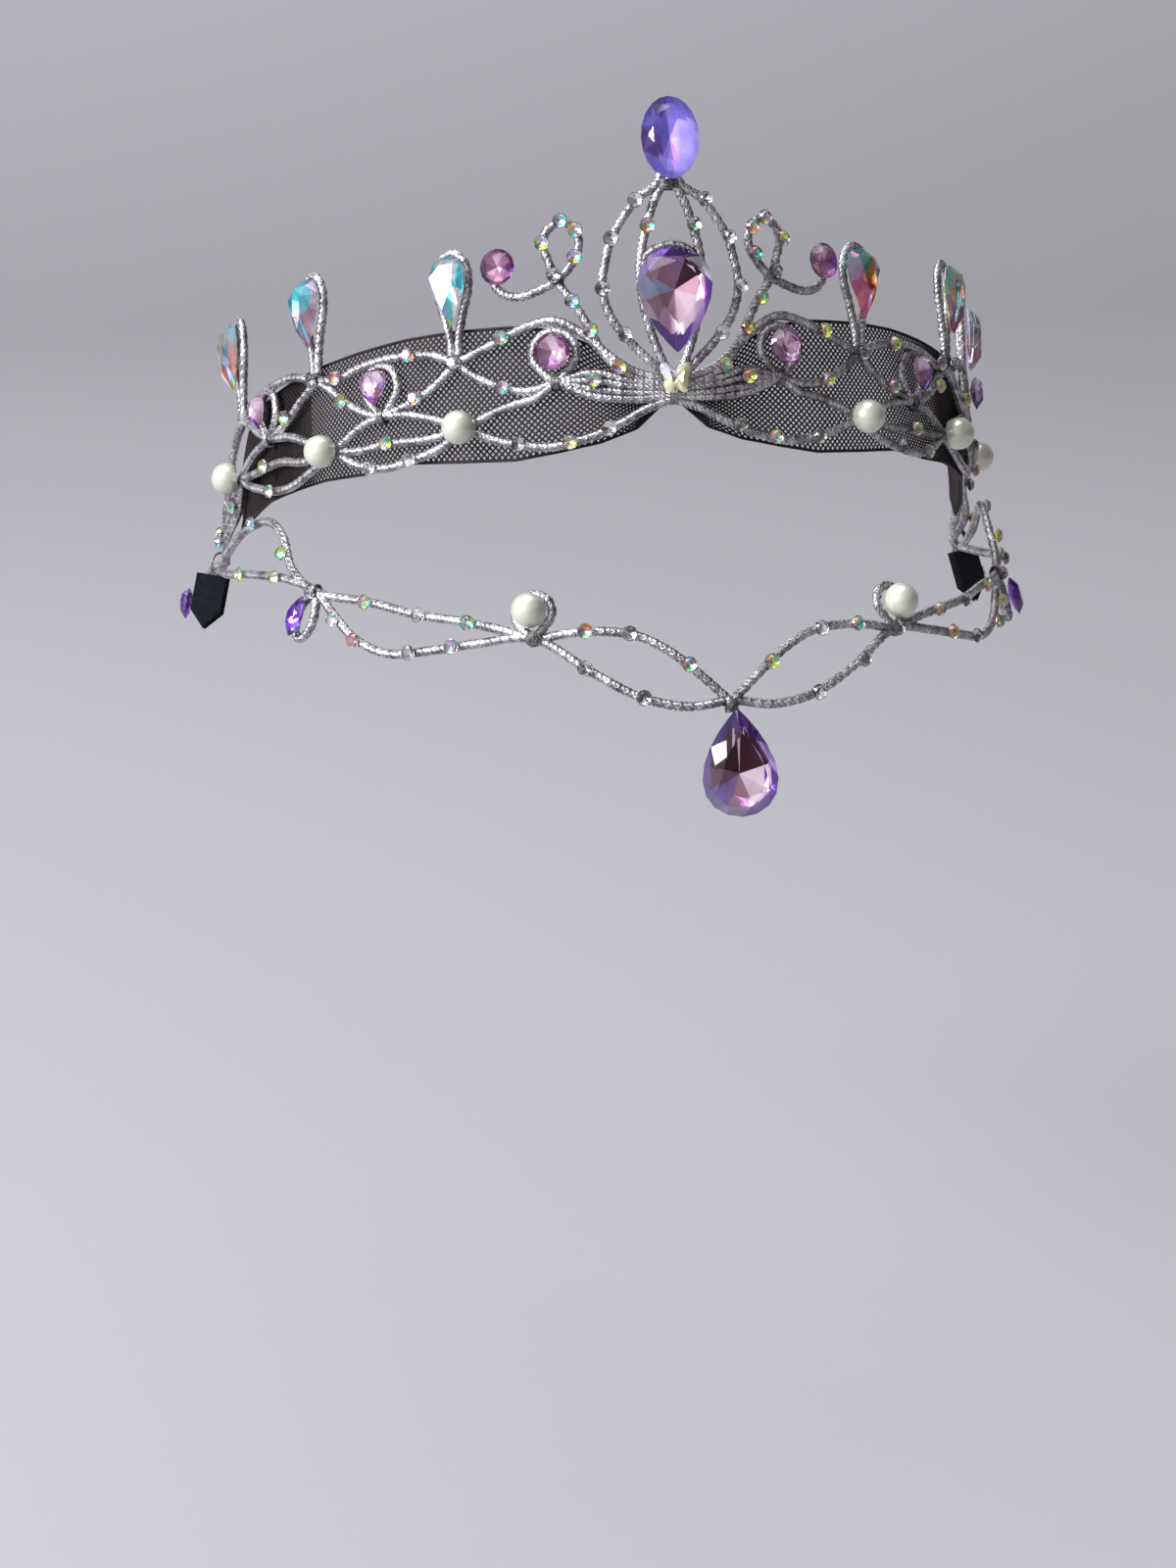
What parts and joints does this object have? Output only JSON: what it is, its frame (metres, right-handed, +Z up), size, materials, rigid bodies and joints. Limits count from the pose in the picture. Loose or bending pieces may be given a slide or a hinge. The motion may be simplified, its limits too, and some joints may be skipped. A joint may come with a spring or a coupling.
{
  "type": "ballet tiara",
  "caption": "Open ballet tiara of silver cord scrollwork on a net band, set with crystals and pearls, with a two-cord forehead strand and a hanging pear drop.",
  "frame": {"origin": "centre of the ring where the head goes in, at the height of the crown's pearls", "axes": "+Z up as worn, the front faces -Y, +X to the viewer's right; the ring tips back 20 degrees about X"},
  "size_m": [0.1678, 0.142, 0.1122],
  "materials": {
    "silver_cord": "braided metallic thread over wire, soft metallic sheen",
    "net": "fine open diamond net of dark brown filament",
    "amethyst": "faceted foil-backed lilac glass",
    "opal_crystal": "faceted milky violet glass",
    "aurora_crystal": "faceted clear glass with a rainbow coating",
    "pearl": "cream pearl, soft lustre",
    "elastic": "woven black elastic"
  },
  "bodies": {
    "root": {"net_band_left": "net", "cord_band_left": "silver_cord", "forehead_strand_left": "silver_cord", "teardrop_left_1": "aurora_crystal", "teardrop_left_2": "aurora_crystal", "teardrop_left_3": "aurora_crystal", "band_pear_left_1": "amethyst", "band_pear_left_2": "amethyst", "band_pearl_left_1": "pearl", "band_pearl_left_2": "pearl", "band_pearl_left_3": "pearl", "lobe_crystal_left": "amethyst", "scroll_crystal_left": "amethyst", "strand_pearl_left": "pearl", "strand_navette_left": "amethyst", "end_crystal_left": "amethyst", "hair_tab_left": "elastic", "net_band_right": "net", "cord_band_right": "silver_cord", "forehead_strand_right": "silver_cord", "teardrop_right_1": "aurora_crystal", "teardrop_right_2": "aurora_crystal", "teardrop_right_3": "aurora_crystal", "band_pear_right_1": "amethyst", "band_pear_right_2": "amethyst", "band_pearl_right_1": "pearl", "band_pearl_right_2": "pearl", "band_pearl_right_3": "pearl", "lobe_crystal_right": "amethyst", "scroll_crystal_right": "amethyst", "strand_pearl_right": "pearl", "strand_navette_right": "amethyst", "end_crystal_right": "amethyst", "hair_tab_right": "elastic", "centre_motif": "silver_cord", "centre_drop": "amethyst", "top_oval": "opal_crystal", "butterfly": "aurora_crystal", "forehead_drop": "amethyst"}
  },
  "joints": []
}
